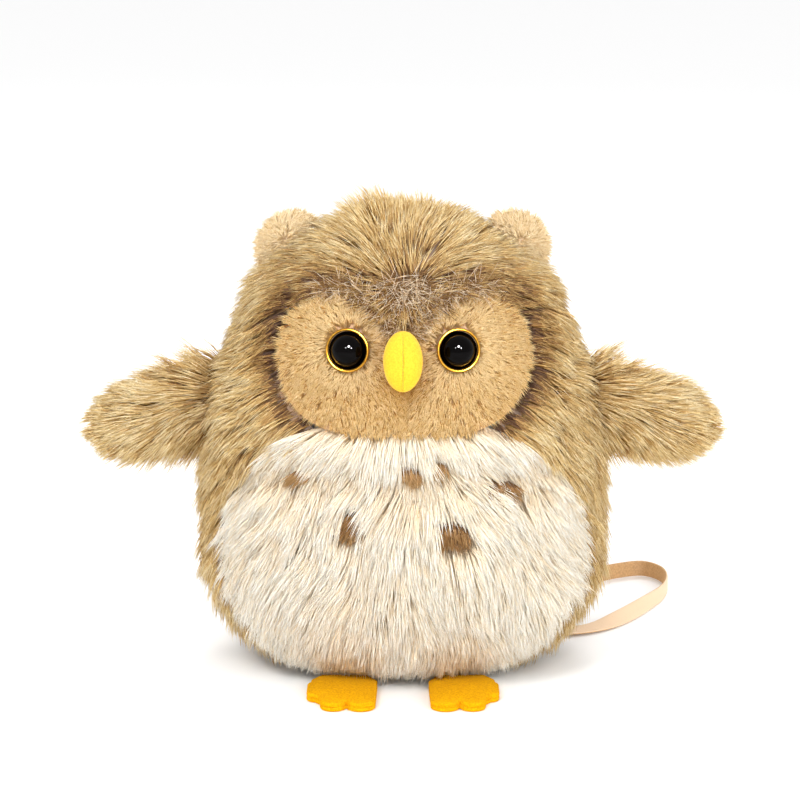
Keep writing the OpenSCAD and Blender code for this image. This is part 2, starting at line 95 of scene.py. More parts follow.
def smooth(x, lo, hi):
    """0 before lo, 1 after hi, and 3t^2 - 2t^3 between."""
    t = np.clip((x - lo) / (hi - lo), 0, 1)
    return t * t * (3 - 2 * t)


# ---- finishes ----------------------------------------------------------------------------

def rgb(r, g, b):
    """Screen colour 0..255 as linear light."""
    c = np.array([r, g, b]) / 255
    return (*np.where(c > 0.04045, ((c + 0.055) / 1.055) ** 2.4, c / 12.92), 1.0)


def plain(name, colour, **sockets):
    """A Principled material with even numbers on its own sockets."""
    m = bpy.data.materials.new(name)
    m.use_nodes = True
    p = m.node_tree.nodes["Principled BSDF"]
    p.inputs["Base Color"].default_value = colour
    for key, value in sockets.items():
        p.inputs[key.replace("_", " ")].default_value = value
    return m


GRAIN_DETAIL = 4.0
GRAIN_SPREAD = (0.35, 0.65)   # where the ramp is dark and where it is light


def grained(name, dark, light, size, depth=0.0, stretch=(1, 1, 1), pattern="ShaderNodeTexNoise",
            **sockets):
    """Colour runs from dark to light with a pattern whose grains are size mm, and the same pattern
    raises the surface by depth mm."""
    m = plain(name, light, **sockets)
    nt = m.node_tree
    p = nt.nodes["Principled BSDF"]
    where = nt.nodes.new("ShaderNodeTexCoord")
    turn = nt.nodes.new("ShaderNodeMapping")
    turn.inputs["Scale"].default_value = stretch
    grain = nt.nodes.new(pattern)
    grain.inputs["Scale"].default_value = 1 / (size * MM)
    if "Detail" in grain.inputs:
        grain.inputs["Detail"].default_value = GRAIN_DETAIL
    ramp = nt.nodes.new("ShaderNodeValToRGB")
    for element, at, colour in zip(ramp.color_ramp.elements, GRAIN_SPREAD, (dark, light)):
        element.position, element.color = at, colour
    out = "Fac" if "Fac" in grain.outputs else "Distance"
    nt.links.new(where.outputs["Object"], turn.inputs["Vector"])
    nt.links.new(turn.outputs[0], grain.inputs["Vector"])
    nt.links.new(grain.outputs[out], ramp.inputs["Fac"])
    nt.links.new(ramp.outputs["Color"], p.inputs["Base Color"])
    if depth:
        bump = nt.nodes.new("ShaderNodeBump")
        bump.inputs["Distance"].default_value = depth * MM
        bump.inputs["Strength"].default_value = 1
        nt.links.new(grain.outputs[out], bump.inputs["Height"])
        nt.links.new(bump.outputs["Normal"], p.inputs["Normal"])
    return m


def pile_tones(name, stops, count=10):
    """Tones of one pile from its roots to its tips, evenly spaced between the colour stops."""
    at = np.linspace(0, len(stops) - 1, count)
    tones = np.stack([np.interp(at, range(len(stops)), channel) for channel in zip(*stops)], -1)
    return [plain(f"{name}_{i}", rgb(*tone), Roughness=0.7, Sheen_Weight=0.08, Sheen_Roughness=0.4,
                  Sheen_Tint=rgb(255, 226, 180), Specular_IOR_Level=0.12)
            for i, tone in enumerate(tones)]


BROWN = pile_tones("brown_pile", [(90, 54, 24), (148, 104, 50), (190, 147, 82), (212, 175, 110),
                                  (232, 203, 144), (246, 226, 180)], 12)
CREAM = pile_tones("cream_pile", [(222, 194, 152), (243, 223, 190), (253, 240, 216), (255, 250, 238)])
FACE = pile_tones("face_pile", [(166, 100, 36), (202, 146, 72), (226, 182, 110), (246, 214, 156)])
EAR = pile_tones("ear_pile", [(218, 182, 126), (238, 208, 156), (250, 228, 186)], 6)
SPOT = pile_tones("spot_pile", [(100, 64, 30), (146, 102, 54), (186, 144, 92)], 6)
WIRY = pile_tones("wiry_pile", [(196, 150, 98), (246, 226, 194)], 4)

backing_brown = grained("brown_backing", rgb(112, 78, 44), rgb(150, 110, 66), 3, 0.2, Roughness=0.9)
backing_cream = grained("cream_backing", rgb(206, 182, 148), rgb(232, 212, 182), 3, 0.2, Roughness=0.9)
backing_face = grained("face_backing", rgb(190, 138, 80), rgb(216, 168, 108), 2, 0.2, Roughness=0.9)
backing_ear = grained("ear_backing", rgb(214, 178, 132), rgb(232, 202, 156), 2, 0.2, Roughness=0.9)
gold = grained("gold", rgb(138, 94, 26), rgb(176, 130, 46), 0.8, 0.004, Metallic=1.0, Roughness=0.3)
brass = grained("brass", rgb(196, 158, 82), rgb(224, 190, 116), 0.8, 0.004, Metallic=1.0, Roughness=0.28)
black_gloss = grained("black_gloss", rgb(2, 1, 1), rgb(5, 3, 3), 4, Roughness=0.04, Specular_IOR_Level=0.06)
beak_felt = grained("beak_felt", rgb(236, 178, 20), rgb(246, 200, 40), 0.7, 0.12, Roughness=0.9,
                    Specular_IOR_Level=0.1, Sheen_Weight=0.12, Sheen_Roughness=0.5)
foot_felt = grained("foot_felt", rgb(214, 146, 0), rgb(238, 174, 4), 0.7, 0.12, Roughness=0.95,
                    Specular_IOR_Level=0.02)
strap_outer = grained("strap_outer", rgb(222, 184, 144), rgb(234, 202, 166), 1.1, 0.03,
                      pattern="ShaderNodeTexVoronoi", Roughness=0.5)
# the inner face's darker golden is partly the lining's own colour and partly painted shade
strap_inner = grained("strap_inner", rgb(190, 146, 92), rgb(210, 166, 112), 0.8, 0.05, Roughness=0.7)
zip_cloth = grained("zip_cloth", rgb(196, 168, 128), rgb(224, 198, 160), 0.6, 0.1, stretch=(1, 1, 3),
                    Roughness=0.85)
zip_plastic = grained("zip_plastic", rgb(206, 178, 138), rgb(226, 202, 166), 2, 0.01, Roughness=0.4)
lining = grained("lining_cloth", rgb(196, 160, 118), rgb(222, 190, 150), 0.5, 0.08, stretch=(1, 1, 2),
                 Roughness=0.8)
fibre = grained("fibre", rgb(236, 234, 228), rgb(252, 252, 250), 2, 0.5, Roughness=0.95)
washer = grained("washer_plastic", rgb(225, 225, 222), rgb(240, 240, 238), 2, 0.01, Roughness=0.4)


def reface(name, material):
    """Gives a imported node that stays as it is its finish."""
    for slot in cad[name].material_slots:
        slot.material = material


# ---- meshes ------------------------------------------------------------------------------

def build(name, co, polys, materials, slots=None):
    """A smooth mesh object from points in mm and arrays of faces, placed at the origin."""
    me = bpy.data.meshes.new(name)
    co = np.asarray(co, np.float32).reshape(-1, 3) * MM
    polys = [np.asarray(p, np.int32) for p in polys if len(p)]
    sizes = np.concatenate([np.full(len(p), p.shape[1]) for p in polys])
    loops = np.concatenate([p.ravel() for p in polys])
    me.vertices.add(len(co))
    me.vertices.foreach_set("co", co.ravel())
    me.loops.add(len(loops))
    me.loops.foreach_set("vertex_index", loops)
    me.polygons.add(len(sizes))
    me.polygons.foreach_set("loop_start", np.concatenate([[0], np.cumsum(sizes)[:-1]]).astype(np.int32))
    if slots is not None:
        me.polygons.foreach_set("material_index", np.asarray(slots, np.int32))
    for m in materials if isinstance(materials, (list, tuple)) else [materials]:
        me.materials.append(m)
    me.update(calc_edges=True)
    me.shade_smooth()
    ob = bpy.data.objects.new(name, me)
    scene.collection.objects.link(ob)
    return ob


def grid_quads(rows, cols, wrap=False):
    """Quads between rows of points, each row cols long, and round it where wrap is true."""
    j, i = np.meshgrid(np.arange(rows - 1), np.arange(cols if wrap else cols - 1), indexing="ij")
    a, b = j * cols + i, j * cols + (i + 1) % cols
    return np.stack([a, b, b + cols, a + cols], -1).reshape(-1, 4)


def slab(name, f, across, up, material):
    """A closed slab: f(p, q, k) gives its outer face at k = 0 and its inner face at k = 1, and the
    rim joins the two faces all round."""
    q, p = np.meshgrid(np.linspace(0, 1, up + 1), np.linspace(0, 1, across + 1), indexing="ij")
    co = np.concatenate([f(p, q, k).reshape(-1, 3) for k in (0, 1)])
    n, half = across + 1, (across + 1) * (up + 1)
    outer = grid_quads(up + 1, n)
    rim = np.concatenate([np.arange(n), np.arange(1, up + 1) * n + across,
                          up * n + np.arange(across - 1, -1, -1), np.arange(up - 1, 0, -1) * n])
    nxt = np.roll(rim, -1)
    side = np.stack([rim, rim + half, nxt + half, nxt], -1)
    return build(name, co, [outer, outer[:, ::-1] + half, side], material)


def loft(name, rings, material, slots=None):
    """A closed solid through rings of points, with a fan over each end."""
    rings = np.asarray(rings, float)
    m, n = rings.shape[:2]
    co = np.concatenate([rings.reshape(-1, 3), rings[0].mean(0)[None], rings[-1].mean(0)[None]])
    i = np.arange(n)
    first = np.stack([(i + 1) % n, i, np.full(n, m * n)], -1)
    last = np.stack([(m - 1) * n + i, (m - 1) * n + (i + 1) % n, np.full(n, m * n + 1)], -1)
    return build(name, co, [grid_quads(m, n, True), first, last], material, slots)


def outward(ob):
    """Turns the faces outward and joins doubled points."""
    bm = bmesh.new()
    bm.from_mesh(ob.data)
    bmesh.ops.remove_doubles(bm, verts=bm.verts, dist=1e-6)
    bmesh.ops.recalc_face_normals(bm, faces=bm.faces)
    bm.to_mesh(ob.data)
    bm.free()
    return ob


def put(ob, body, slot, *nodes):
    """The piece rides on a body and stands for the named nodes, which it hides; slot is not used."""
    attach(ob, body)
    if nodes:
        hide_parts(*nodes)
    return ob


# ---- strap -------------------------------------------------------------------------------

# The strap runs from the right clasp (RIGHT) through the roll to the left clasp (LEFT). Both runs
# are points in mm, with the direction of the strap's width at each.
STRAP_W, STRAP_T = 7, 1.2
EDGE_POINTS, SPAN_STEPS = 20, 5
ROLL_MID, ROLL_OUT, ROLL_PITCH, ROLL_TURNS = (0, 128), 31, 3.2, 3.886
ROLL_STEPS, ROLL_START, ROLL_Z, ROLL_CLIMB = 56, -90, 3.8, 5.8
RIGHT = np.array([
    [38, 64, 109], [38.5, 66, 95], [39.5, 68, 78], [40.5, 69.5, 60], [41, 70, 42],
    [41.5, 70, 25], [43, 67, 12], [46, 58, 5], [50, 47.5, 4], [56.5, 38, 3.6], [66, 31.5, 2.2],
    [80, 36.5, 1.8], [93, 48.5, 2.9], [105, 66, 3.8], [113, 82, 3.8], [116.5, 98, 3.8],
    [115, 112, 3.8], [107.5, 120.5, 3.8], [96, 116.5, 3.8], [84, 108, 3.8], [70, 100.5, 3.8],
    [54, 96.5, 3.8], [36, 96, 3.8], [18, 96.5, 3.8]])
RIGHT_W = np.array([[1, 0, 0]] * 5 + [
    [1, 0.1, 0], [1, 0.4, 0.2], [0.8, 0.5, 0.6], [0.3, 0.3, 1], [0.2, 0.6, 0.8], [-0.4, 0.9, 0.25],
    [-0.7, 0.8, 0.2], [-0.55, 0.5, 0.7], [-0.2, 0.1, 1]] + [[0, 0, 1]] * 10)
LEFT = np.array([
    [11, 113.5, 9.6], [4, 107, 9.8], [-4, 100, 9.8], [-12, 93.5, 9.2], [-20, 87, 4.5],
    [-27, 81, 2.4], [-33, 76, 4], [-37, 72.5, 12], [-38.5, 70.5, 25], [-39, 70, 42],
    [-39.5, 69.5, 60], [-39, 68, 78], [-38.5, 66, 95], [-38, 64, 109]])
LEFT_W = np.array([[0.7, -0.7, 0]] * 5 + [[0.8, -0.6, 0], [0.9, -0.4, 0], [1, -0.2, 0]]
                  + [[1, 0, 0]] * 6)


def roll():
    """The wound length: a flat spiral that turns clockwise inward, on edge, whose last half turn
    climbs and lies over flat. Returns points and the directions of the width."""
    s = np.linspace(0, 1, ROLL_STEPS)
    angle = np.radians(ROLL_START - 360 * ROLL_TURNS * s)
    r = ROLL_OUT - ROLL_PITCH * ROLL_TURNS * s
    over = smooth(s * ROLL_TURNS, ROLL_TURNS - 0.5, ROLL_TURNS)
    points = vec(ROLL_MID[0] + r * np.cos(angle), ROLL_MID[1] + r * np.sin(angle),
                 ROLL_Z + ROLL_CLIMB * over)
    lean = over[:, None] * math.pi / 2
    outward_ray = vec(np.cos(angle), np.sin(angle), 0)
    return points, np.cos(lean) * np.array([0, 0, 1.0]) + np.sin(lean) * outward_ray


def through(points, per):
    """Catmull-Rom curve through the points, per steps in each span."""
    p = np.concatenate([[2 * points[0] - points[1]], points, [2 * points[-1] - points[-2]]])
    t = np.linspace(0, 1, per, endpoint=False)[:, None]
    a, b, c, d = (p[i:len(p) - 3 + i, None] for i in range(4))
    out = 0.5 * (2 * b + (c - a) * t + (2 * a - 5 * b + 4 * c - d) * t ** 2
                 + (3 * b - a - 3 * c + d) * t ** 3)
    return np.concatenate([out.reshape(-1, points.shape[1]), points[-1:]])


def make_strap():
    """One flat strap carried along its whole route. Its section is a box with rounded edges, a
    superellipse, and the direction of its width is smoothed along with the route's points."""
    rolled, rolled_w = roll()
    route = np.concatenate([RIGHT, rolled, LEFT])
    width = np.concatenate([RIGHT_W, rolled_w, LEFT_W])
    both = through(np.concatenate([route, width], 1), SPAN_STEPS)
    line, w = both[:, :3], both[:, 3:]
    along = unit(np.gradient(line, axis=0))
    w = unit(w - along * dot(w, along))
    n = np.cross(along, w)
    turn = np.linspace(0, 2 * math.pi, EDGE_POINTS, endpoint=False)
    edge = STRAP_W / 2 * spow(np.cos(turn), 0.35)
    face = STRAP_T / 2 * spow(np.sin(turn), 0.5)
    rings = line[:, None] + w[:, None] * edge[None, :, None] + n[:, None] * face[None, :, None]
    # inner faces take strap_inner: the lining's own colour, darkened partly with painted shade
    is_outer = np.tile(np.roll(face, -1) + face > 0, len(rings) - 1)
    slots = np.concatenate([np.where(is_outer, 0, 1), np.zeros(2 * EDGE_POINTS, int)])
    ob = outward(loft("strap", rings, [strap_outer, strap_inner], slots))
    put(ob, "body", "strap_leather", "strap_run_right", "strap_roll", "strap_run_left")


make_strap()


# ---- body surfaces -----------------------------------------------------------------------

HALF_W, WIDEST_Z, DOME_RISE, LOW_RISE, DEPTH = 82, 56, 136, 60, 0.80
DOME_N, LOW_N, PLAN_N, BODY_Y = 2.2, 3.4, 2.2, 6
CORE = np.array([0, BODY_Y, 85.0])
HEM_Z, CROWN_Z, CHEST_Z, SEAM = -1.5, 155, 108, 0.8
BELLY_ANGLE, BELLY_RISE, BELLY_FALL = 63, 58, 90         # half angle, and reach above and below
FACE_ANGLE, FACE_Z, FACE_RISE = 42, 131, 27
ZIP_LOW, ZIP_HIGH, ZIP_HALF, ZIP_CORNER = 52, 150, 12.5, 4
HEM_DRAW, CROWN_TUCK = 0.075, 4.5
BEAK_MID = np.array([0, BODY_Y - 61.7, 134.7])
EYE_X, EYE_Y, EYE_Z = 21, BODY_Y - 51.5, 137
DOWN = np.array([0, 0, -1.0])


def lift_angle(z):
    """The surface's second angle at a level: the inverse of z = WIDEST_Z + rise sin^(2/n)."""
    z = np.asarray(z, float)
    up = np.arcsin(np.clip((z - WIDEST_Z) / DOME_RISE, 0, 1) ** (DOME_N / 2))
    low = np.arcsin(np.clip((WIDEST_Z - z) / LOW_RISE, 0, 1) ** (LOW_N / 2))
    return np.where(z >= WIDEST_Z, up, -low)


def skin(u, w):
    """The body's outer surface: a superellipsoid, squarer below its widest level than above it."""
    up = w >= 0
    n, rise = np.where(up, DOME_N, LOW_N), np.where(up, DOME_RISE, LOW_RISE)
    a = HALF_W * np.abs(np.cos(w)) ** (2 / n)
    return vec(a * spow(np.sin(u), 2 / PLAN_N), BODY_Y - a * DEPTH * spow(np.cos(u), 2 / PLAN_N),
               WIDEST_Z + rise * spow(np.sin(w), 2 / n))


def under(u, w, t):
    """The same point, t mm deeper towards the core."""
    p = skin(u, w) - CORE
    return CORE + p * (1 - (np.asarray(t, float) / np.linalg.norm(p, axis=-1))[..., None])


def belly_edge(z):
    """Half of the belly panel's angle at a level: half an ellipse over its height."""
    k = np.where(z > WIDEST_Z, BELLY_RISE, BELLY_FALL)
    return np.radians(BELLY_ANGLE) * np.sqrt(np.clip(1 - ((z - WIDEST_Z) / k) ** 2, 0, None))


def face_edge(z):
    """Half of the face panel's angle at a level: half an ellipse over its height."""
    return np.radians(FACE_ANGLE) * np.sqrt(np.clip(1 - ((z - FACE_Z) / FACE_RISE) ** 2, 0, None))


def front_edge(z):
    """The side panels start a seam's width past the wider of the belly and the face."""
    return np.maximum(np.maximum(belly_edge(z), face_edge(z)), 0.01) + np.radians(SEAM)


def back_edge(z):
    """The side panels end at the centre back, short of the zip between its two ends."""
    past_end = np.minimum((z - ZIP_LOW) / ZIP_CORNER, (ZIP_HIGH - z) / ZIP_CORNER)
    half = 0.4 + ZIP_HALF * np.clip(past_end, 0, 1)
    n = np.where(z >= WIDEST_Z, DOME_N, LOW_N)
    a = HALF_W * np.cos(lift_angle(z)) ** (2 / n)
    return math.pi - np.arcsin(np.clip(half / a, 0, 1) ** (PLAN_N / 2))


def tuck(z):
    """How much deeper the backing lies under the crown's long pile."""
    return CROWN_TUCK * smooth(z, 158, 180)


def drawn_in(p, z):
    """Draws points near the base towards the middle, level by level."""
    k = 1 - HEM_DRAW * (1 - smooth(z, 10, 46))
    return (p - [0, BODY_Y, 0]) * np.stack([k, k, np.ones_like(k)], -1) + [0, BODY_Y, 0]


def patch(z_lo, z_hi, edge_a, edge_b, t, mirror=1):
    """surf(p, q) over a level range of the body, between two edges that depend on the level."""
    def surf(p, q):
        z = z_lo + (z_hi - z_lo) * q
        a, b = edge_a(z), edge_b(z)
        return drawn_in(under(mirror * (a + (b - a) * p), lift_angle(z), t + tuck(z)), z)
    return surf


def front_point(x, z, t):
    """The point t mm under the skin that is x across and z up, on the body's front."""
    w = lift_angle(z)
    a = HALF_W * np.cos(w) ** (2 / np.where(z >= WIDEST_Z, DOME_N, LOW_N))
    return under(np.arcsin(spow(np.clip(x / a, -1, 1), PLAN_N / 2)), w, t)


def cap(w_lo, w_hi, t):
    """surf(p, q) of the top of the body, between two values of its second angle."""
    def surf(p, q):
        w = w_lo + (w_hi - w_lo) * q
        z = WIDEST_Z + DOME_RISE * spow(np.sin(w), 2 / DOME_N)
        return under(2 * math.pi * p, w, t + tuck(z))
    return surf


W_CROWN = float(lift_angle(CROWN_Z + 0.5))
ROOT_T, FACE_T = 7.0, 6.0    # depth of the backing under the pile's tips
BACKING_T, ROUND = 1.4, 72

panels = {
    "belly": lambda t: patch(HEM_Z, CHEST_Z + 1.5, lambda z: -belly_edge(z), belly_edge, t),
    "face": lambda t: patch(CHEST_Z - 2, CROWN_Z - 1, lambda z: -face_edge(z), face_edge, t),
    "side_left": lambda t: patch(HEM_Z, CROWN_Z - 0.5, front_edge, back_edge, t, -1),
    "side_right": lambda t: patch(HEM_Z, CROWN_Z - 0.5, front_edge, back_edge, t, 1),
}


def cover(name, surf, t_out, material, across, up, slot, node):
    """A panel's backing: a slab between two depths of the same surface."""
    ob = slab(name, lambda p, q, k: surf(t_out + BACKING_T * k)(p, q), across, up, material)
    put(outward(ob), "body", slot, node)


cover("belly_backing", panels["belly"], ROOT_T, backing_cream, 60, 40, "cream_plush", "belly_panel")
cover("face_backing", panels["face"], FACE_T, backing_face, 60, 30, "face_plush", "face_panel")
for side, s in SIDES:
    cover(f"side_backing_{side}", panels[f"side_{side}"], ROOT_T, backing_brown, 44, 44, "brown_plush",
          f"side_panel_{side}")

outer_rings, inner_rings = (
    cap(math.radians(88), W_CROWN, t)(np.arange(ROUND)[None] / ROUND, np.linspace(0, 1, 24)[:, None])
    for t in (ROOT_T, ROOT_T + BACKING_T))
crown = loft("crown_backing", np.concatenate([outer_rings, inner_rings[::-1]]), backing_brown)
put(outward(crown), "body", "brown_plush", "crown_panel")

BASE_DEPTH = 0.74
BASE_PROFILE = ((34, 0.6), (37, 1.2), (39, 2.4), (39.5, 3.6), (39, 5.2), (37, 6))   # half width, z


def base_ring(half, z):
    """The body's plan at a half width, as a level ring."""
    u = np.linspace(0, 2 * math.pi, ROUND, endpoint=False)
    return vec(half * spow(np.sin(u), 2 / PLAN_N),
               BODY_Y - half * BASE_DEPTH * spow(np.cos(u), 2 / PLAN_N), z)


base = loft("base_backing", [base_ring(half, z) for half, z in BASE_PROFILE], backing_brown)
put(outward(base), "body", "brown_plush", "base_panel")


# ---- fur ---------------------------------------------------------------------------------

TRIS_MOST = 190000
FLOOR_GAP = 0.4
TAPER = [0.8, 1.0, 0.72]                # thickness of the rings from the root up
CORNERS = np.radians([90, 210, 330])    # of a strand's section


def ripple(at, seed, size):
    """A slow wave over space, about -1 to 1: the sum of six sines of random directions, whose
    waves are about size mm long."""
    rng = np.random.default_rng(seed)
    k = rng.normal(0, 1, (6, 3)) * 2 * math.pi / size
    return sum(np.sin(at @ v + f) for v, f in zip(k, rng.random(6) * 6.28)) / 2.5


def surface_at(surf, p, q, step, hub):
    """Points of surf(p, q), their normals away from the hub, the two slopes, and the area scale."""
    dp = (surf(p + step, q) - surf(p - step, q)) / (2 * step)
    dq = (surf(p, q + step) - surf(p, q - step)) / (2 * step)
    at = surf(p, q)
    n = np.cross(dp, dq)
    size = np.linalg.norm(n, axis=-1)
    n = unit(n)
    return at, n * np.sign(dot(n, at - hub) + 1e-12), dp, dq, size


def root_places(rng, surf, density, per_clump, clump_r, hub, wrap, grid):
    """Roots and their normals, one row for each tuft. Tufts are spread by area times density, and
    a tuft's strands stand in a disc of clump_r mm, the first one in its middle."""
    cells = (np.arange(grid) + 0.5) / grid
    q, p = np.meshgrid(cells, cells, indexing="ij")
    step = 0.3 / grid
    at, n, _, _, size = surface_at(surf, p, q, step, hub)
    weight = (size * density(at, n)).ravel() / grid ** 2
    clumps = int(weight.sum() / per_clump)
    draw = (np.arange(clumps) + rng.random(clumps)) / clumps
    pick = np.minimum(np.searchsorted(np.cumsum(weight) / weight.sum(), draw), grid * grid - 1)
    cp = p.ravel()[pick] + (rng.random(clumps) - 0.5) / grid
    cq = q.ravel()[pick] + (rng.random(clumps) - 0.5) / grid
    _, _, dp, dq, _ = surface_at(surf, cp, cq, step, hub)
    ang = rng.random((clumps, per_clump)) * 2 * math.pi
    rad = clump_r * np.sqrt(rng.random((clumps, per_clump)))
    ang[:, 0], rad[:, 0] = 0, 0
    sp = cp[:, None] + rad * np.cos(ang) / np.maximum(np.linalg.norm(dp, axis=-1), 1)[:, None]
    sq = cq[:, None] + rad * np.sin(ang) / np.maximum(np.linalg.norm(dq, axis=-1), 1)[:, None]
    sp = sp if wrap else np.clip(sp, 0.001, 0.999)
    at, n, _, _, _ = surface_at(surf, sp, np.clip(sq, 0.001, 0.999), step, hub)
    return at, n


def strand_lines(rng, at, n, comb, seed, segs, gather, twist):
    """Centre lines: each leaves its root along comb's first direction and bends evenly to its
    second one, and the strands of a tuft close up towards the middle one as they rise."""
    clumps, per_clump = at.shape[:2]
    go, lift, length, droop, shade = comb(at, n)
    go = unit(go - n * dot(go, n))
    swing = rng.normal(0, twist, (clumps, 1)) + rng.normal(0, twist * 0.7, (clumps, per_clump))
    swing = swing + 0.22 * ripple(at, seed, 34) + 0.12 * ripple(at, seed + 1, 13)
    shade = shade + 0.05 * ripple(at, seed + 2, 26)
    go = go * np.cos(swing)[..., None] + np.cross(n, go) * np.sin(swing)[..., None]
    lift = lift + rng.normal(0, 0.07, (clumps, 1)) + rng.normal(0, 0.06, (clumps, per_clump)) \
        + 0.07 * ripple(at, seed + 3, 18)
    length = length * rng.uniform(0.82, 1.12, (clumps, 1)) * rng.uniform(0.72, 1.15, (clumps, per_clump))
    first = unit(n * np.clip(lift * 1.7 + 0.15, 0.12, None)[..., None] + go)
    final = unit(n * np.clip(lift * 0.55, 0.02, None)[..., None] + go + DOWN * np.asarray(droop)[..., None])
    s = (np.arange(segs + 1) / segs)[:, None, None, None]
    line = at + length[..., None] * (first * (s - s * s / 2) + final * (s * s / 2))
    mid = line[:, :, :1]
    close = gather * rng.uniform(0.6, 1.1, (1, clumps, 1, 1)) * s ** 1.3
    line = line + close * (mid - line) * rng.uniform(0.5, 1.0, (1, clumps, per_clump, 1))
    line[..., 2] = np.maximum(line[..., 2], FLOOR_GAP)
    return line, shade


def strand_points(rng, line, n, width, segs):
    """Three-sided rings along each line, thickest above the root, and one point at the tip."""
    clumps, per_clump = n.shape[:2]
    along = unit(np.gradient(line, axis=0))
    side = unit(np.cross(along, n[None] + 0.01))
    up = np.cross(along, side)
    r = width * np.concatenate([TAPER[:segs], [0.0]])
    r = r[:, None, None, None] * rng.uniform(0.75, 1.2, (1, clumps, per_clump, 1))
    rings = np.stack([line + r * (side * math.cos(a) + up * math.sin(a)) for a in CORNERS], 3)[:segs]
    strands = clumps * per_clump
    rings = rings.transpose(1, 2, 0, 3, 4).reshape(strands, segs * 3, 3)
    return np.concatenate([rings, line[segs].reshape(strands, 1, 3)], 1)


def strand_faces(segs):
    """One strand's quads between its rings, and its triangles at the tip and at the root."""
    j = np.arange(3)
    quad = np.concatenate([np.stack([b * 3 + j, b * 3 + (j + 1) % 3,
                                     b * 3 + 3 + (j + 1) % 3, b * 3 + 3 + j], -1)
                           for b in range(segs - 1)])
    tip = np.stack([(segs - 1) * 3 + j, (segs - 1) * 3 + (j + 1) % 3, np.full(3, segs * 3)], -1)
    return quad, np.concatenate([tip, [[0, 2, 1]]])


def strand_tones(rng, shade, count, segs, ramp):
    """The tone of each face: a step along the ramp for each segment, shifted for each tuft and
    each strand."""
    clumps, per_clump = shade.shape
    shift = rng.normal(0, 0.07, (clumps, 1)) + rng.normal(0, 0.11, (clumps, per_clump)) + shade
    seg_at = ramp[0] + (ramp[1] - ramp[0]) * (np.arange(segs) + 0.35) / (segs - 0.4)
    tone = np.clip(((shift.reshape(-1, 1) + seg_at) * count).astype(int), 0, count - 1)
    return (np.repeat(tone[:, :segs - 1], 3, axis=1),
            np.concatenate([np.repeat(tone[:, segs - 1:], 3, axis=1), tone[:, :1]], 1))


def fur(name, body, slot, surf, comb, tones, density, seed, width=0.21, segs=3, per_clump=9,
        clump_r=1.9, gather=0.45, hub=CORE, wrap=False, ramp=(0.12, 0.95), twist=0.12, grid=160):
    """Pile of tapered three-sided strands in tufts over surf(p, q), in pieces of a size that holds.
    comb(points, normals) gives direction, lift, length, droop, and a shade to add to the tone."""
    rng = np.random.default_rng(seed)
    at, n = root_places(rng, surf, density, per_clump, clump_r, hub, wrap, grid)
    line, shade = strand_lines(rng, at, n, comb, seed, segs, gather, twist)
    co = strand_points(rng, line, n, width, segs)
    quad, tri = strand_faces(segs)
    quad_tone, tri_tone = strand_tones(rng, shade, len(tones), segs, ramp)
    clumps, strands = len(at), len(co)
    order = (rng.permutation(clumps)[:, None] * per_clump + np.arange(per_clump)).ravel()
    parts = math.ceil(strands * (6 * (segs - 1) + 4) / TRIS_MOST)
    edges = np.linspace(0, strands, parts + 1).astype(int)
    made = []
    for part in range(parts):
        own = order[edges[part]:edges[part + 1]]
        step = (np.arange(len(own)) * (segs * 3 + 1))[:, None, None]
        ob = build(name if parts == 1 else f"{name}_{part + 1}", co[own],
                   [(quad + step).reshape(-1, 4), (tri + step).reshape(-1, 3)], tones,
                   np.concatenate([quad_tone[own].ravel(), tri_tone[own].ravel()]))
        made.append(put(ob, body, slot))
    print(name, strands, "strands in", parts)
    return made


FACE_MID = np.array([0, -48, 131.0])
WHORL = np.array([1, -38, 161.0])
FAN = np.array([0, -52, 124.0])


LOBE_MID, LOBE_HALF = (24.5, 133), (22, 23.5)     # x and z
STRIP_Z, STRIP_HALF = 124, (26, 17.5)


def even(at, value):
    """The same value at every point."""
    return value + 0 * at[..., 0]


def lobes(at):
    """Below 1 inside the face's outline on the front: two round lobes and the strip between their
    lower halves."""
    x, z = np.abs(at[..., 0] - 0.5), at[..., 2]
    lobe = np.hypot((x - LOBE_MID[0]) / LOBE_HALF[0], (z - LOBE_MID[1]) / LOBE_HALF[1])
    strip = np.maximum(x / STRIP_HALF[0], np.abs(z - STRIP_Z) / STRIP_HALF[1])
    return np.minimum(lobe, strip) + 9 * (at[..., 1] > 0)


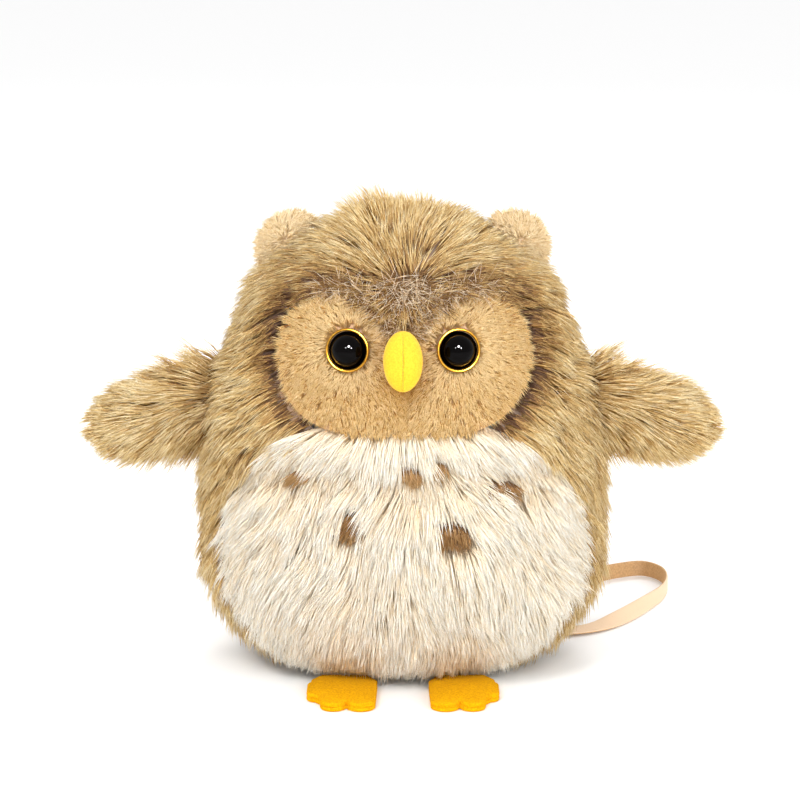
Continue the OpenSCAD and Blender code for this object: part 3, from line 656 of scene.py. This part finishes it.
def hood_comb(at, n):
    """Away from the face and from the brow's whorl near them, out along the wings, and down further
    off. The pile is shorter at the face's rim and over the brow, and darker there with painted
    shade of the recess round the face. It stands in a tuft on the crown, lies low at the hem, and
    parts at the zip. Each zone is 1 in its middle and 0 outside."""
    from_face, from_whorl = at - FACE_MID, at - WHORL
    x, y, z = at[..., 0], at[..., 1], at[..., 2]
    near = np.linalg.norm(from_face, axis=-1)
    high = smooth(z, 138, 158)[..., None]      # above the eyes the whorl rules
    ray = unit(from_face * [1.15, 1, 0.9]) * (1 - high) + unit(from_whorl) * high
    back = smooth(y, -5, 45)
    top = smooth(z, 158, 184)
    fall = 0.12 + 1.15 * smooth(near, 36, 84) * (1 - 0.9 * top) + 0.5 * back
    shoulder = smooth(np.abs(x), 46, 62) * (1 - smooth(np.abs(z - 106), 16, 34)) \
        * (1 - smooth(np.abs(y - 2), 18, 34))
    go = ray * (1 - 0.4 * back)[..., None] + DOWN * fall[..., None]
    go = go + vec(np.sign(x), 0, (z - 104) / 26) * (1.8 * shoulder)[..., None]
    front = 1 - smooth(y, -25, -5)
    rim = 1 - smooth(lobes(at), 1.12, 1.26 + 0.16 * smooth(z, 128, 150))
    brow = front * (1 - smooth(np.linalg.norm(from_whorl * [0.7, 0, 1], axis=-1), 4, 12))
    low = 1 - smooth(z, 6, 40)
    ear = np.linalg.norm((at - [0, BODY_Y, 168]) * [0, 1, 1] + vec(np.abs(x) - 45, 0, 0), axis=-1)
    by_ear = (1 - smooth(ear, 14, 24)) * (y < 12)
    tuft = 1 - smooth(np.hypot(x + 9.5, y - 4), 3, 11)
    by_zip = (1 - smooth(np.abs(x), 13, 28)) * smooth(y, 30, 44)
    go = go - vec(np.sign(x), 0, 0) * (0.55 * by_zip)[..., None]
    length = 17.5 - 5.5 * rim - 3 * brow - 5 * low + 1.5 * by_ear - 2.5 * top + 5 * top * tuft \
        + 3.5 * shoulder
    lift = 0.34 + 0.20 * top + 0.28 * top * tuft + 0.14 * rim + 0.2 * brow - 0.12 * low \
        + 0.08 * by_ear + 0.12 * by_zip
    # rim and brow darken the pile: painted shade of the recess round the face; the crown is a touch paler
    # and the hem a little darker
    shade = -0.06 - 0.44 * rim - 0.12 * brow + 0.01 * top - 0.04 * low
    return go, lift, length, 0.22 * (1 - top) + 0.35 * low, shade


# Feather spots: x and z of the middle, half length, half width, and the turn in degrees.
SPOTS = np.array([[-42, 89, 4.5, 1.8, 10], [3, 92, 4.5, 1.6, -15], [14, 94, 3.5, 1.6, 20],
                  [40, 84, 6.0, 3.4, -10], [-20, 71, 5.2, 4.2, 50], [19.5, 67, 7.4, 3.6, -5]])


def belly_flow(at):
    """Away from the fan's middle, mostly across, and down."""
    return unit((at - FAN) * [1.35, 0.2, 1]) + DOWN * 0.45


def in_spot(x, z, spot):
    """How far out a place is in a spot's ellipse: 0 in its middle, 1 on its edge."""
    turn = math.radians(spot[4])
    dx, dz = x - spot[0], z - spot[1]
    along = dx * math.cos(turn) + dz * math.sin(turn)
    across = dz * math.cos(turn) - dx * math.sin(turn)
    return np.hypot(along / spot[2], across / spot[3])


def belly_comb(at, n):
    """A fan from under the beak that turns to straight down. A strand that would lie over a spot
    is cut short at the spot's upper edge."""
    x, z = at[..., 0], at[..., 2]
    go = belly_flow(at)
    level = z + 3.0 * ripple(at, 5, 26)
    flap = smooth(level, 96, 102)              # the chest's long fringe
    part = smooth(level, 83, 91) * (1 - flap)  # the shorter pile it hangs over
    low = 1 - smooth(z, 6, 40)
    side = smooth(np.abs(x), 48, 66)
    length = 18.5 - 7 * part + 0.5 * flap - 7 * low - 4 * side
    flat = unit(go[..., [0, 2]])
    for spot in SPOTS:
        to = spot[:2] - at[..., [0, 2]]
        along = (to * flat).sum(-1)
        across = np.abs(to[..., 0] * flat[..., 1] - to[..., 1] * flat[..., 0])
        over = (across < 0.75 * spot[2]) & (along > 0) & (along < length)
        ragged = 2.6 + 2.4 * np.sin(37 * x + 91 * z)
        length = np.where(over, np.clip(along - spot[3] + ragged, 5, length), length)
    lift = 0.32 - 0.16 * part + 0.12 * flap - 0.12 * low
    # part darkens the shorter pile under the chest's fringe: painted shadow of the fringe
    shade = 0.06 * flap - 0.12 * part
    return go, lift, length, 0.25 + 0.35 * low, shade


def belly_density(at, n):
    """Denser on the chest's flap, and bare on the spots."""
    clear = np.ones(at.shape[:-1], bool)
    for spot in SPOTS:
        clear &= in_spot(at[..., 0], at[..., 2], spot) > 1
    return (1.75 + 0.9 * smooth(at[..., 2], 92, 103)) * clear


def nearer_eye(at):
    """The middle of the eye on the point's own side."""
    return np.where(at[..., :1] < 0, -1.0, 1.0) * [EYE_X, 0, 0] + [0, EYE_Y, EYE_Z]


def face_comb(at, n):
    """Out from the nearer eye, paler round it and darker round the beak."""
    eye = nearer_eye(at)
    ray = unit((at - eye) * [1, 0, 1])
    from_eye = np.linalg.norm((at - eye) * [1, 0, 1], axis=-1)
    from_beak = np.linalg.norm((at - BEAK_MID) * [1, 0, 0.8], axis=-1)
    edge = smooth(lobes(at), 0.82, 1)
    # edge darkens the face's outline a little: painted shade under the hood's overhanging rim
    shade = 0.22 * (1 - smooth(from_eye, 9, 17)) - 0.32 * (1 - smooth(from_beak, 7, 18)) - 0.06 * edge
    return ray + DOWN * 0.15, even(at, 0.42), even(at, 5.6), 0.05, shade


def face_density(at, n):
    """Even over the face's outline, and bare under the eyes and the beak."""
    clear = np.linalg.norm((at - nearer_eye(at)) * [1, 0, 1], axis=-1) > 7
    off_beak = np.linalg.norm((at - BEAK_MID) * [1 / 6.3, 0, 1 / 10.6], axis=-1) > 1
    return 5.6 * clear * off_beak * (lobes(at) < 1)


def face_surf(p, q):
    """The part of the front that holds the face."""
    return front_point(-53 + 107 * p, 105.5 + 56.5 * q, FACE_T)


def brow_comb(lift, length, droop):
    """Hair that stands up over the brow, fanned out from under the beak."""
    def comb(at, n):
        return belly_flow(at) * [1, 1, -1], even(at, lift), even(at, length), droop, even(at, 0)
    return comb


def brow_surf(p, q):
    """The part of the front between the face's lobes, from the beak up to the whorl."""
    return front_point(-33 + 67 * p, 139 + 29 * q, FACE_T)


def brow_density(most):
    """Close to the face's outline, and round the whorl's middle."""
    def density(at, n):
        out = lobes(at)
        near = 1 - smooth(out, 1.08, 1.24)
        middle = 1 - smooth(np.hypot(at[..., 0] - 1, (at[..., 2] - 158) * 0.8), 6, 11)
        return most * (out > 0.97) * np.maximum(near, middle)
    return density


def spot_surf(spot):
    """A disc of the spot's outline just over the belly's backing: p goes round it, and q out from
    its middle."""
    def surf(p, q):
        turn = math.radians(spot[4])
        along = spot[2] * q * np.cos(2 * math.pi * p)
        across = spot[3] * q * np.sin(2 * math.pi * p)
        return front_point(spot[0] + along * math.cos(turn) - across * math.sin(turn),
                           spot[1] + along * math.sin(turn) + across * math.cos(turn), ROOT_T - 1.5)
    return surf


def spot_comb(at, n):
    """The spots nearest the flap are paler."""
    return belly_flow(at), even(at, 0.5), even(at, 7.5), 0.2, 0.45 * smooth(at[..., 2], 86, 89)


def hood_density(at, n):
    """Denser in front than behind, and bare inside the face's outline."""
    front = 1 - smooth(at[..., 1], -15, 25)
    return (0.8 + 0.66 * front) * (lobes(at) > 1)


fur("fur_belly", "body", "cream_plush", panels["belly"](ROOT_T), belly_comb, CREAM, belly_density, 11,
    width=0.2, ramp=(0.2, 0.95))
for side, s in SIDES:
    fur(f"fur_side_{side}", "body", "brown_plush", panels[f"side_{side}"](ROOT_T), hood_comb, BROWN,
        hood_density, 20 + s, ramp=(0.26, 0.95))
fur("fur_crown", "body", "brown_plush", cap(W_CROWN, math.radians(89), ROOT_T), hood_comb, BROWN,
    lambda at, n: 1.45 * (lobes(at) > 1), 31, wrap=True, ramp=(0.26, 0.95))
fur("fur_face", "body", "face_plush", face_surf, face_comb, FACE, face_density, 41,
    width=0.16, segs=2, per_clump=6, clump_r=1.0, gather=0.3, twist=0.25, ramp=(0.3, 0.95))
fur("fur_brow_under", "body", "brown_plush", brow_surf, brow_comb(0.7, 6.5, 0.0), BROWN[:4],
    brow_density(4.5), 42, width=0.17, segs=2, per_clump=5, clump_r=1.0, gather=0.4, twist=0.9,
    ramp=(0.0, 0.7), grid=60)
fur("fur_brow_wiry", "body", "brown_plush", brow_surf, brow_comb(0.62, 9.5, 0.1), WIRY,
    brow_density(1.2), 43, width=0.11, per_clump=2, clump_r=0.8, gather=-0.4, twist=1.1,
    ramp=(0.2, 0.95), grid=60)
for i, spot in enumerate(SPOTS):
    for ob in fur(f"feather_{i + 1}", "body", "spot_plush", spot_surf(spot), spot_comb, SPOT,
                  lambda at, n: even(at, 7.0), 80 + i, width=0.2, segs=2, per_clump=5, clump_r=0.8,
                  gather=0.3, ramp=(0.1, 0.8), grid=30, wrap=True):
        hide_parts(f"feather_spot_{i + 1}")


# ---- eyes --------------------------------------------------------------------------------

def turned(profile, steps=64):
    """Rings of a profile (radius, height) turned round Z."""
    a = np.linspace(0, 2 * math.pi, steps, endpoint=False)
    r, z = np.asarray(profile, float).T
    return vec(r[:, None] * np.cos(a), r[:, None] * np.sin(a), z[:, None] + 0 * a)


def turn_matrix(axis, degrees):
    """A turn about one axis, anticlockwise as seen from its positive end."""
    c, s = math.cos(math.radians(degrees)), math.sin(math.radians(degrees))
    i, j = {"x": (1, 2), "y": (2, 0), "z": (0, 1)}[axis]
    m = np.eye(3)
    m[i, i], m[i, j], m[j, i], m[j, j] = c, -s, s, c
    return m


EYE_TOE_OUT, EYE_TIP_BACK = 12, 82                 # degrees
DOME_R, DOME_BASE_R, DOME_BOW, DOME_SINK = 6.3, 7.3, 2, 0.4
STEM_R, STEM_END = 2.4, -14
RIM_R, RIM_HALF_W, RIM_HALF_T, RIM_POINTS = DOME_R + 1.65, 0.6, 0.8, 16

for side, s in SIDES:
    at_eye = turn_matrix("z", s * EYE_TOE_OUT) @ turn_matrix("x", EYE_TIP_BACK)
    centre = np.array([s * EYE_X, EYE_Y, EYE_Z])
    ball_r = math.hypot(DOME_R, DOME_BOW)
    bow = [(ball_r * math.sin(a), -DOME_SINK + ball_r * math.cos(a))
           for a in np.linspace(math.asin(DOME_R / ball_r), 0.002, 22)]
    rings = turned([(0.1, STEM_END), (STEM_R, STEM_END), (STEM_R, -0.05), (DOME_BASE_R, 0),
                    (DOME_BASE_R, 0.5), (DOME_R, 0.55), (DOME_R, 1.4)] + bow)
    dome = outward(loft(f"eye_{side}", rings @ at_eye.T + centre, black_gloss))
    put(dome, "body", "black_dome", f"eye_dome_{side}")
    tube = np.linspace(0, 2 * math.pi, RIM_POINTS + 1)[:-1]
    ring = turned(np.stack([RIM_R + RIM_HALF_W * np.cos(tube),
                            RIM_HALF_T + RIM_HALF_T * np.sin(tube)], -1))
    n = ring.shape[1]
    quads = grid_quads(RIM_POINTS + 1, n, True) % (RIM_POINTS * n)
    rim = build(f"eye_rim_{side}", ring @ at_eye.T + centre, [quads], gold)
    put(outward(rim), "body", "gold_metal", f"eye_ring_{side}")
    reface(f"eye_washer_{side}", washer)


# ---- beak --------------------------------------------------------------------------------

BEAK_HALF = (7.5, 7, 11.7)       # width, depth and height
BEAK_FELT_T = 1.2
SEAM_DRAW, SEAM_SPREAD = 0.05, 5     # part of the depth, and degrees


def beak_point(turn, lat, t):
    """An ellipsoid that draws in a little at the seam, t mm below its felt."""
    seam = SEAM_DRAW * np.exp(-(np.degrees(turn) / SEAM_SPREAD) ** 2)
    w, d, h = BEAK_HALF[0] - t, BEAK_HALF[1] * (1 - seam) - t, BEAK_HALF[2] - t
    return BEAK_MID + vec(w * np.sin(turn) * np.cos(lat), -d * np.cos(turn) * np.cos(lat), h * np.sin(lat))


for side, s in SIDES:
    half = slab(f"beak_felt_{side}", lambda p, q, k: beak_point(
        s * np.radians(0.3 + 179 * p), np.radians(-88 + 176 * q), BEAK_FELT_T * k), 40, 40, beak_felt)
    put(outward(half), "body", "beak_felt", f"beak_{side}")
reface("beak_wadding", fibre)


# ---- feet --------------------------------------------------------------------------------

FOOT_X, FOOT_FRONT = 24, -69
FOOT_MID = np.array([FOOT_X - 1.5, -54.0])
TOES, TOE_LEN = ((-7.8, 5.7, 5.7), (2.9, 5.4, 5.1), (10.2, 15, 3.3)), 9    # x, y, radius
INSTEP = np.array([[-13.5, 8], [-2.4, 7], [8, 8], [13.5, 16], [12, 30], [8, 36], [-10, 36], [-14, 28]])
FELT_ROUND, FOOT_POINTS = 0.62, 160


def foot_outline(theta):
    """Rays from the foot's middle and the distance along each to its outline: the furthest of the
    toes, which are rows of circles, and the instep, whose corners are joined by straight edges."""
    d = np.stack([np.sin(theta), -np.cos(theta)], -1)
    best = np.zeros_like(theta)
    for x, y, r in TOES:
        for back in np.linspace(0, TOE_LEN, 7):
            c = np.array([FOOT_X + x, FOOT_FRONT + y + back]) - FOOT_MID
            b = d @ c
            disc = b * b - c @ c + r * r
            best = np.maximum(best, np.where(disc > 0, b + np.sqrt(np.maximum(disc, 0)), 0))
    poly = INSTEP + [FOOT_X, FOOT_FRONT] - FOOT_MID
    for a, b in zip(poly, np.roll(poly, -1, 0)):
        e = b - a
        cross = d[:, 0] * e[1] - d[:, 1] * e[0]
        cross = np.where(np.abs(cross) < 1e-9, 1e-9, cross)
        t = (a[0] * e[1] - a[1] * e[0]) / cross
        u = (a[0] * d[:, 1] - a[1] * d[:, 0]) / cross
        best = np.maximum(best, np.where((t > 0) & (u >= 0) & (u <= 1), t, 0))
    return d, best


def foot_layer(name, s, z_lo, z_hi, puff):
    """Felt cut to the outline, with rounded edges and a slightly raised middle."""
    d, r = foot_outline(np.linspace(0, 2 * math.pi, FOOT_POINTS, endpoint=False))
    h = z_hi - z_lo
    arc = np.linspace(-math.pi / 2, math.pi / 2, 9)
    rows = [(0, k, z_lo) for k in (0.03, 0.4, 0.75)] \
        + [(FELT_ROUND * (1 - math.cos(a)), 1, z_lo + h / 2 + h / 2 * math.sin(a)) for a in arc] \
        + [(0, k, z_hi + puff * (1 - k ** 2)) for k in (0.93, 0.8, 0.55, 0.3, 0.03)]
    rings = [vec(s * (FOOT_MID[0] + d[:, 0] * (r - inset) * k), FOOT_MID[1] + d[:, 1] * (r - inset) * k, z)
             for inset, k, z in rows]
    return outward(loft(name, rings, foot_felt))


for side, s in SIDES:
    for layer, z_lo, z_hi, puff in (("sole", 0.2, 2.05, 0), ("top", 1.95, 3.8, 1.6)):
        put(foot_layer(f"foot_{layer}_felt_{side}", s, z_lo, z_hi, puff),
            f"foot_{side}", "foot_felt", f"foot_{layer}_{side}")


# ---- wings -------------------------------------------------------------------------------

WING_ROOT = np.array([77.6, BODY_Y, 107])
WING_LEN, WING_H, WING_T, WING_LEAN, WING_DROP = 47, 17.5, 9.5, 0.207, 11
WING_INSET, WING_BACKING, WING_ROOTS = 0.31, 0.035, 0.38    # parts of the wing's half thickness


def wing_point(s, turn, f, side):
    """A flattened leaf: height falls as sqrt(1 - s^4), thickness as sin^0.6, and the tip droops."""
    h = WING_H * np.sqrt(np.clip(1 - s ** 4, 0, 1)) * (1 - f)
    t = WING_T * np.abs(np.sin(math.pi * (0.05 + 0.95 * np.maximum(s, 0.15)))) ** 0.6 * (1 - f)
    p = WING_ROOT + vec(WING_LEN * s - WING_LEAN * h * np.cos(turn) * (1 - s), t * np.sin(turn),
                        h * np.cos(turn) - WING_DROP * np.maximum(s, 0) ** 0.7)
    return p * [side, 1, 1]


def wing_comb(s):
    """Out along the wing, spread from its axis near the body, and shorter towards the tip."""
    def comb(at, n):
        x = (np.abs(at[..., 0]) - WING_ROOT[0]) / WING_LEN
        axis = WING_ROOT[2] - WING_DROP * np.abs(np.clip(x, 0, 1)) ** 0.7
        rise = (at[..., 2] - axis) / WING_H
        root = 1 - smooth(x, 0, 0.55)
        go = vec(s + 0 * x, 0 * x, (0.8 + 0.9 * root) * rise - 0.24 - 0.1 * root)
        # darker on the wing's lower half and near its root: painted shade under the wing and where it meets
        # the body
        shade = -0.03 - 0.14 * smooth(-rise, 0.1, 1) - 0.08 * (1 - smooth(x, 0, 0.3))
        return go, 0.38 + 0.1 * root, 18 + 3.5 * root - 10.5 * smooth(x, 0.45, 1), 0.12, shade
    return comb


for side, s in SIDES:
    for face, from_turn in (("front", math.pi), ("back", 0)):
        shell = slab(f"wing_{face}_backing_{side}", lambda p, q, k: wing_point(
            -0.1 + 1.1 * q, from_turn + math.radians(179) * p, WING_INSET + WING_BACKING * k, s),
            24, 24, backing_brown)
        put(outward(shell), f"wing_{side}", "brown_plush", f"wing_{face}_{side}")
    fur(f"fur_wing_{side}", f"wing_{side}", "brown_plush",
        lambda p, q: wing_point(-0.16 + 1.14 * q, 2 * math.pi * p, WING_ROOTS, s), wing_comb(s), BROWN,
        lambda at, n: even(at, 2.3), 50 + s, wrap=True, ramp=(0.26, 0.95),
        hub=np.array([s * 98, BODY_Y, 100.0]), grid=100)
    reface(f"wing_wadding_{side}", fibre)


# ---- ears --------------------------------------------------------------------------------

EAR_FOOT = np.array([46.7, BODY_Y + 1, 171.2])
EAR_TURN, EAR_R, EAR_SUNK, EAR_DEEP, EAR_BULGE = 46, 14, 5, 5, 2.0


def ear_point(a, r, face, side):
    """A round segment above its seam: r runs from the seam's middle to the rim, a round it."""
    reach = -EAR_SUNK * np.cos(a) + np.sqrt(EAR_R ** 2 - (EAR_SUNK * np.sin(a)) ** 2)
    x, z = reach * r * np.sin(a), reach * r * np.cos(a) - EAR_DEEP * (1 - r)
    y = face * (0.2 + EAR_BULGE * np.sqrt(np.clip(1 - r ** 3, 0, 1)))
    p = vec(x, y, z) @ turn_matrix("y", EAR_TURN).T + EAR_FOOT
    return p * [side, 1, 1]


def ear_comb(s):
    """Out from the ear's foot."""
    def comb(at, n):
        return unit(at - EAR_FOOT * [s, 1, 1]), even(at, 0.3), even(at, 4.2), 0.0, even(at, 0.0)
    return comb


EAR_FACES = (("front", -1, EAR, backing_ear, "ear_plush"),
             ("back", 1, BROWN[3:], backing_brown, "brown_plush"))
for side, s in SIDES:
    for face, toward, pile, back_of, slot in EAR_FACES:
        shell = slab(f"ear_{face}_backing_{side}", lambda p, q, k: ear_point(
            np.radians(-100 + 200 * p), 0.03 + 0.92 * q, toward * (1 - 0.85 * k), s), 32, 12, back_of)
        put(outward(shell), f"ear_{side}", slot, f"ear_{face}_{side}")
        fur(f"fur_ear_{face}_{side}", f"ear_{side}", slot, lambda p, q: ear_point(
                math.radians(-100) + math.radians(200) * p, 0.05 + 0.9 * q, toward, s),
            ear_comb(s), pile, lambda at, n: even(at, 7.5), 60 + s + 4 * (toward + 1), width=0.17,
            segs=2, per_clump=5, clump_r=0.7, gather=0.15, twist=0.35, grid=40, ramp=(0.35, 0.8),
            hub=EAR_FOOT * [s, 1, 1] + [0, 0, 4])


# ---- zip and fittings --------------------------------------------------------------------

for side, _ in SIDES:
    reface(f"zip_tape_{side}", zip_cloth)
    reface(f"zip_teeth_{side}", zip_plastic)
    for name in ("strap_tab", "strap_end"):
        reface(f"{name}_{side}", strap_outer)
    for name in ("d_ring", "clasp", "clasp_gate"):
        reface(f"{name}_{side}", brass)
for name in ("zip_top_stop", "zip_bottom_stop", "zip_slider", "zip_pull"):
    reface(name, brass)
reface("pocket_lining", lining)
reface("stuffing", fibre)


# ---- floor and light ---------------------------------------------------------------------

LIT = np.array([0, 0, 0.09])     # m, where the lights point
FLOOR = 9000                     # mm, half of its side


def light(name, at, size, power, gloss=False):
    """A round lamp turned at the owl. A glossy one shows only as a glint, and the others only as
    light on the cloth."""
    data = bpy.data.lights.new(name, "AREA")
    data.shape, data.size, data.energy = "DISK", size, power
    ob = bpy.data.objects.new(name, data)
    d = LIT - at
    ob.location = at
    ob.rotation_euler = (math.atan2(math.hypot(d[0], d[1]), -d[2]), 0, math.atan2(-d[0], d[1]))
    ob.visible_glossy, ob.visible_diffuse = gloss, not gloss
    scene.collection.objects.link(ob)


floor = build("floor", [[x * FLOOR, y * FLOOR, 0] for x, y in ((-1, -1), (1, -1), (1, 1), (-1, 1))],
              [[[0, 1, 2, 3]]], plain("floor", (0.95, 0.95, 0.95, 1), Roughness=0.9))
scene.world = bpy.data.worlds.new("studio")
scene.world.use_nodes = True
sky = scene.world.node_tree.nodes["Background"].inputs
sky["Color"].default_value, sky["Strength"].default_value = (1, 1, 1, 1), 1.0
scene.view_settings.view_transform = "Standard"
light("key", (-0.5, -1.0, 1.1), 0.5, 10)
light("fill", (0.9, -0.9, 0.6), 0.6, 5)
light("back", (0.2, 1.0, 1.2), 0.6, 6)
light("glint", (0.1, -1.0, 0.85), 0.26, 130, gloss=True)
light("glint_low", (0.42, -1.0, 0.62), 0.13, 26, gloss=True)
light("glint_side", (-0.3, -1.0, 0.66), 0.1, 15, gloss=True)
